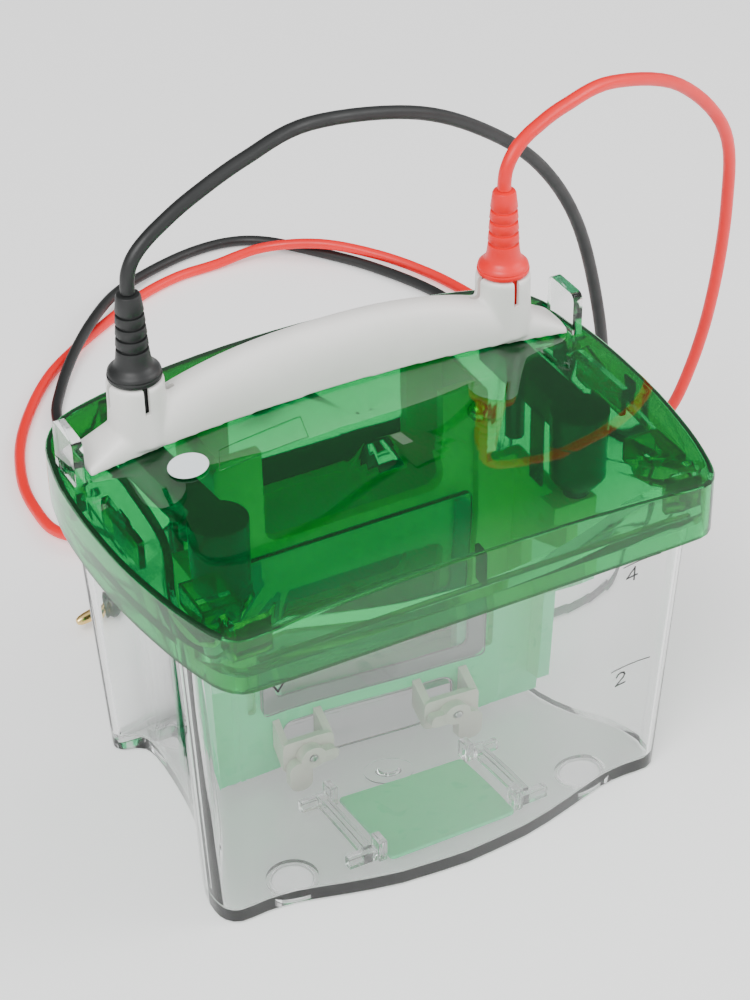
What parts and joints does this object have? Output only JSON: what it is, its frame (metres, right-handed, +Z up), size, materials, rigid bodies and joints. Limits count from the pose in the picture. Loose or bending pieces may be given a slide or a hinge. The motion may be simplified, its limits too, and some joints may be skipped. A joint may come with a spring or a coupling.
{
  "type": "gel electrophoresis tank",
  "caption": "Mini vertical gel electrophoresis tank with lift-off lid, arched handle, safety leads and a lift-out electrode core with cam levers",
  "frame": {"origin": "on the table under the middle of the lid's outline; the feet rest at z = 0", "axes": "X along the lid's long side, Y from the front with the cam levers to the back with the handle, Z up"},
  "size_m": [0.2731, 0.3963, 0.2103],
  "materials": {
    "clear_plastic": "clear moulded, gloss",
    "green_plastic": "tinted transparent, gloss",
    "dark_green_plastic": "deep tinted, gloss",
    "core_green": "tinted, satin",
    "white_plastic": "moulded, satin",
    "cream_plastic": "moulded, satin",
    "grey_silicone": "matt",
    "black_rubber": "soft matt",
    "red_rubber": "soft satin",
    "brass": "polished, gold plated",
    "platinum": "drawn wire",
    "steel": "brushed",
    "glass": "clear",
    "label_white": "blank label, matt"
  },
  "bodies": {
    "base": {"tank": "clear_plastic", "foot_pad_front_left": "clear_plastic", "foot_pad_front_right": "clear_plastic", "foot_pad_back_left": "clear_plastic", "foot_pad_back_right": "clear_plastic", "floor_rail_left": "clear_plastic", "floor_rail_right": "clear_plastic", "floor_plate": "core_green"},
    "lid": {"lid": "green_plastic", "handle": "white_plastic", "contact_housing_left": "dark_green_plastic", "contact_housing_right": "dark_green_plastic", "contact_sleeve_left": "brass", "contact_sleeve_right": "brass", "bus_strap_left": "steel", "bus_strap_right": "steel", "lead_jack_left": "brass", "lead_jack_right": "brass", "label_disc": "label_white", "black_plug": "black_rubber", "black_plug_pin": "brass", "black_cord": "black_rubber", "black_end_plug": "black_rubber", "black_end_pin": "brass", "red_plug": "red_rubber", "red_plug_pin": "brass", "red_cord": "red_rubber", "red_end_plug": "red_rubber", "red_end_pin": "brass"},
    "core": {"core_frame": "core_green", "clamp_plate": "clear_plastic", "gasket_back": "grey_silicone", "gasket_front": "grey_silicone", "short_glass_plate": "glass", "backing_plate": "dark_green_plastic", "buffer_dam": "clear_plastic", "black_terminal_cap": "black_rubber", "black_terminal_pin": "brass", "red_terminal_cap": "red_rubber", "red_terminal_pin": "brass", "wire_terminal": "brass", "upper_wire": "platinum", "lower_wire": "platinum", "cam_clip_left": "cream_plastic", "cam_clip_right": "cream_plastic", "cam_pin_left": "steel", "cam_pin_right": "steel"},
    "cam_left": {"cam_lever_left": "cream_plastic"},
    "cam_right": {"cam_lever_right": "cream_plastic"}
  },
  "joints": [
    {"name": "lid_lift", "type": "slide", "parent": "base", "child": "lid", "axis": [0, 0, 1], "range_m": [0, 0.25]},
    {"name": "core_lift", "type": "slide", "parent": "base", "child": "core", "axis": [0, 0, 1], "range_m": [0, 0.125]},
    {"name": "cam_left_turn", "type": "hinge", "parent": "core", "child": "cam_left", "pos_m": [-0.0254, -0.0015, 0.02], "axis": [0, 1, 0], "range_deg": [0, 90]},
    {"name": "cam_right_turn", "type": "hinge", "parent": "core", "child": "cam_right", "pos_m": [0.0254, -0.0015, 0.02], "axis": [0, -1, 0], "range_deg": [0, 90]}
  ],
  "couplings": [
    {"joint": "core_lift", "follows": "lid_lift", "ratio": 0.5}
  ]
}
